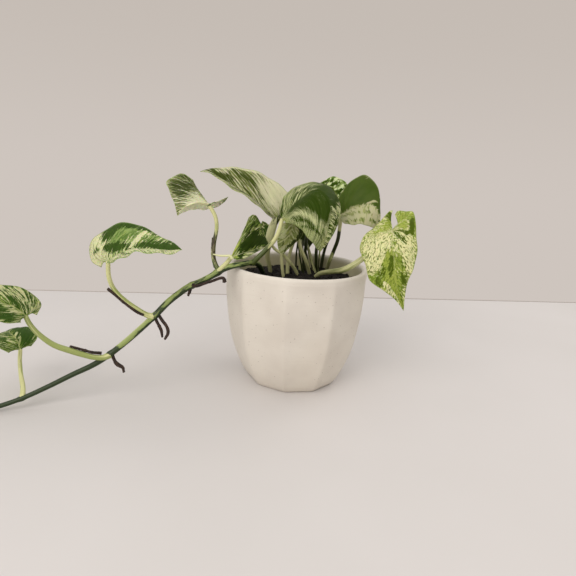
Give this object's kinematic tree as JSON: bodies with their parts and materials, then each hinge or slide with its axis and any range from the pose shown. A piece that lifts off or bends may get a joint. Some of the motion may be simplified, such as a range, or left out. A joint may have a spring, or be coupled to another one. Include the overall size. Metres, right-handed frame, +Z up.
{
  "type": "potted pothos",
  "caption": "Marbled cream and green pothos with heart-shaped leaves in a faceted stoneware pot, one vine trailing over the rim and along the table.",
  "frame": {"origin": "centre of the pot's foot, on the surface that it stands on", "axes": "+Z up; -Y towards the viewer; the vine trails towards -X"},
  "size_m": [0.354, 0.1909, 0.1813],
  "materials": {
    "stoneware": "matte",
    "potting_mix": "matte",
    "leaf_blade": "satin",
    "petiole": "satin",
    "vine_stem": "satin",
    "dried_sheath": "matte"
  },
  "bodies": {
    "root": {"aerial_root_left": "dried_sheath", "aerial_root_long": "dried_sheath", "aerial_root_low": "dried_sheath", "aerial_root_right": "dried_sheath", "aerial_root_spur": "dried_sheath", "leaf_back_small": "leaf_blade", "leaf_centre": "leaf_blade", "leaf_far_left": "leaf_blade", "leaf_hanging_right": "leaf_blade", "leaf_inner_olive": "leaf_blade", "leaf_inner_small": "leaf_blade", "leaf_long_top": "leaf_blade", "leaf_low_left": "leaf_blade", "leaf_rear": "leaf_blade", "leaf_rear_right": "leaf_blade", "leaf_right_rear": "leaf_blade", "leaf_upturned_left": "leaf_blade", "leaf_vine_low": "leaf_blade", "leaf_vine_outer": "leaf_blade", "pot": "stoneware", "sheath_far_left": "dried_sheath", "sheath_outer": "dried_sheath", "sheath_upturned": "dried_sheath", "shoot_pale": "petiole", "shoot_thick": "petiole", "soil": "potting_mix", "stem_back_small": "petiole", "stem_hanging_right": "petiole", "stem_inner_olive": "petiole", "stem_inner_small": "petiole", "stem_long_top": "petiole", "stem_rear": "petiole", "stem_rear_right": "petiole", "stem_right_rear": "petiole", "trailing_vine": "vine_stem"}
  },
  "joints": []
}
